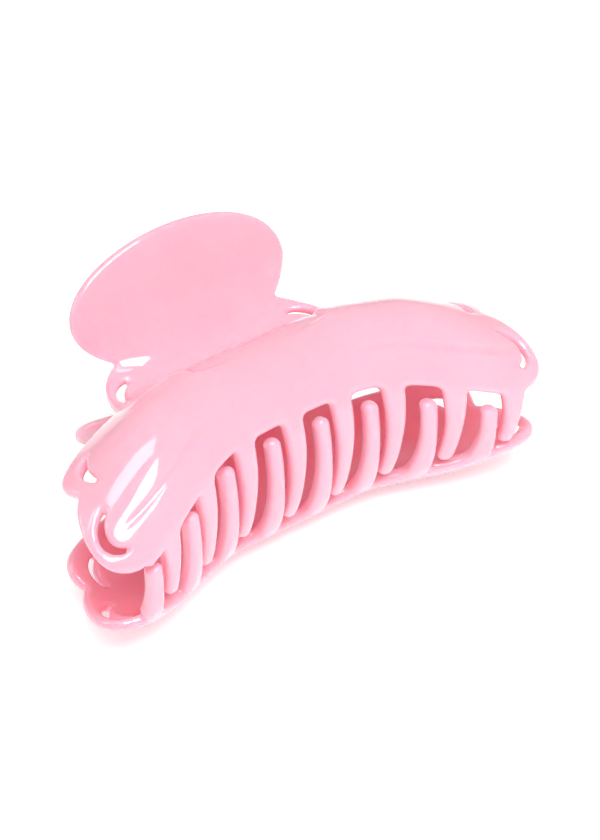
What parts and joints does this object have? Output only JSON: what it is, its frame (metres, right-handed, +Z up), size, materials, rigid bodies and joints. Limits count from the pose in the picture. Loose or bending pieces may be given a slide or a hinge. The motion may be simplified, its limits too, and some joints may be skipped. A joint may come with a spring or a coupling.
{
  "type": "claw clip",
  "caption": "Large glossy hair claw clip: two arched, lobed jaws with interlocking teeth and oval thumb plates on a sprung hinge pin.",
  "frame": {"origin": "centre of the bounding box at its lowest level, the surface the closed clip lies on", "axes": "+X along the clip and its hinge pin, +Y from the teeth to the thumb plates, +Z up with the clip lying on its lower plate tip and its belly"},
  "size_m": [0.101, 0.0668, 0.0531],
  "materials": {
    "pink_plastic": "high gloss injection moulded, slightly translucent baby pink",
    "steel_pin": "nickel plated, bright",
    "spring_steel": "drawn spring wire, satin"
  },
  "bodies": {
    "lower": {"lower_jaw": "pink_plastic", "hinge_pin": "steel_pin", "spring_coil": "spring_steel"},
    "upper": {"upper_jaw": "pink_plastic", "spring_leg": "spring_steel"}
  },
  "joints": [
    {"name": "jaw_hinge", "type": "hinge", "parent": "lower", "child": "upper", "pos_m": [0, 0.01175, 0.02406], "axis": [-1, 0, 0], "range_deg": [0, 80], "stiffness_Nm_per_rad": 0.15, "springref_deg": -57.3}
  ]
}
